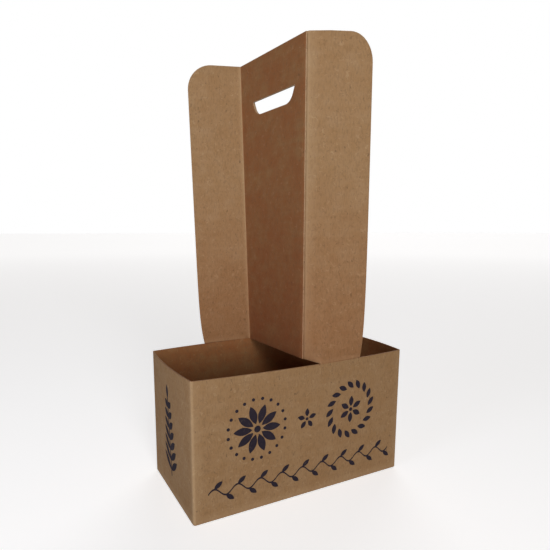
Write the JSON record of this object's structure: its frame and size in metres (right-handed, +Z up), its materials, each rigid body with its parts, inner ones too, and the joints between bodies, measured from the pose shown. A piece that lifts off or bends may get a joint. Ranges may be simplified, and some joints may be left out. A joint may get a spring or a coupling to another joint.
{
  "type": "bottle carrier carton",
  "caption": "Folded kraft board carrier: an open tray for bottles with a glued upright divider that has a hand slot and flared side wings.",
  "frame": {"origin": "middle of the tray's bottom face, on the surface it stands on", "axes": "+X along the tray towards its right end, -Y out of the front wall, +Z up"},
  "size_m": [0.1936, 0.1282, 0.344],
  "materials": {
    "kraft_board": "unbleached kraft board, matte, with fine darker and paler fibres"
  },
  "bodies": {
    "root": {"folded_carton": "kraft_board"}
  },
  "joints": []
}
